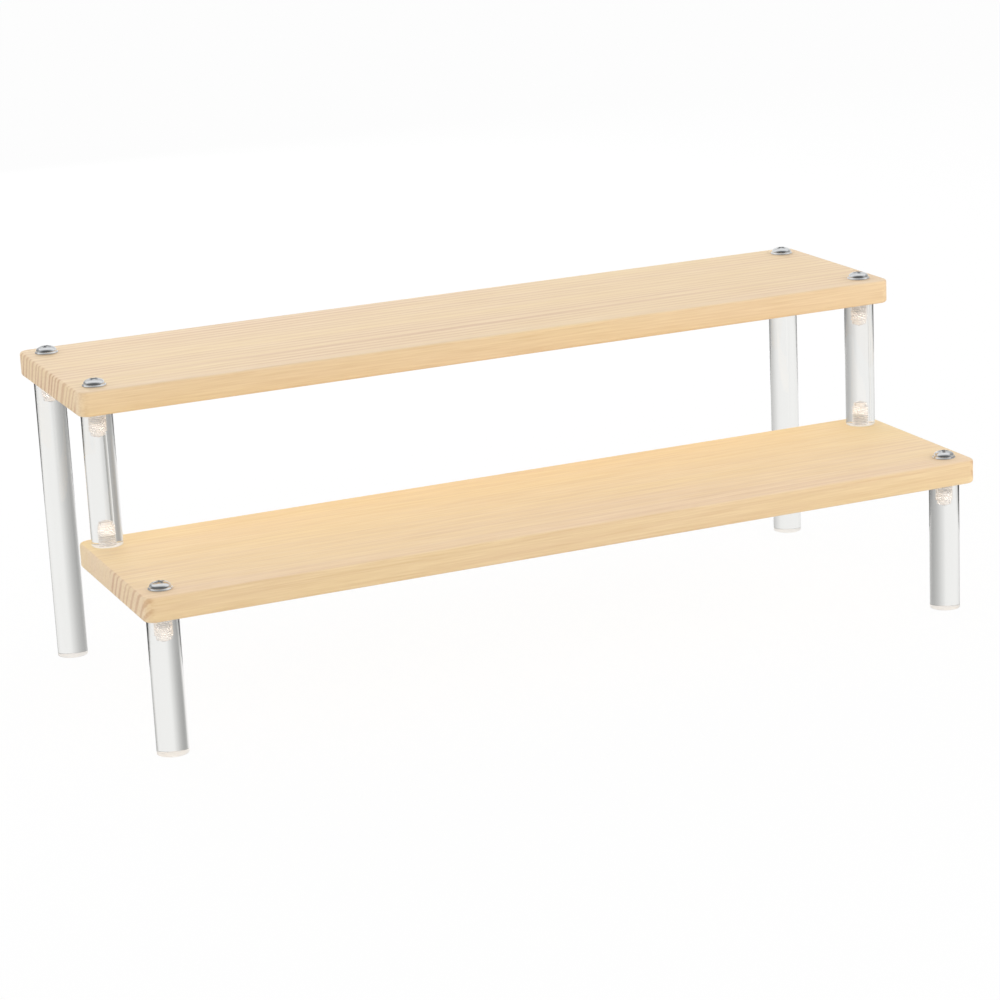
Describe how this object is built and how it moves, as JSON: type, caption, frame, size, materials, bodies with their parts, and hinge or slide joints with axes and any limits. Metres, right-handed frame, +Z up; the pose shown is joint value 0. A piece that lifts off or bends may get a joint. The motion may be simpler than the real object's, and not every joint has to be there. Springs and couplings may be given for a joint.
{
  "type": "tiered display stand",
  "caption": "Low stepped display stand: wooden shelves on clear acrylic rods, the rear shelf raised behind and above the front one, held by domed machine screws.",
  "frame": {"origin": "on the floor, under the middle of the stand's outline", "axes": "+X along the shelves to the right as seen from the front, +Y to the back where the high shelf is, +Z up"},
  "size_m": [0.4, 0.176, 0.1471],
  "materials": {
    "pine": "matte",
    "clear_acrylic": "polished",
    "plated_screw": "gloss"
  },
  "bodies": {
    "root": {"lower_shelf": "pine", "upper_shelf": "pine", "front_leg_left": "clear_acrylic", "front_leg_right": "clear_acrylic", "riser_post_left": "clear_acrylic", "riser_post_right": "clear_acrylic", "rear_leg_left": "clear_acrylic", "rear_leg_right": "clear_acrylic", "screw_lower_front_left": "plated_screw", "screw_lower_front_right": "plated_screw", "screw_under_post_left": "plated_screw", "screw_under_post_right": "plated_screw", "screw_upper_front_left": "plated_screw", "screw_upper_front_right": "plated_screw", "screw_upper_rear_left": "plated_screw", "screw_upper_rear_right": "plated_screw"}
  },
  "joints": []
}
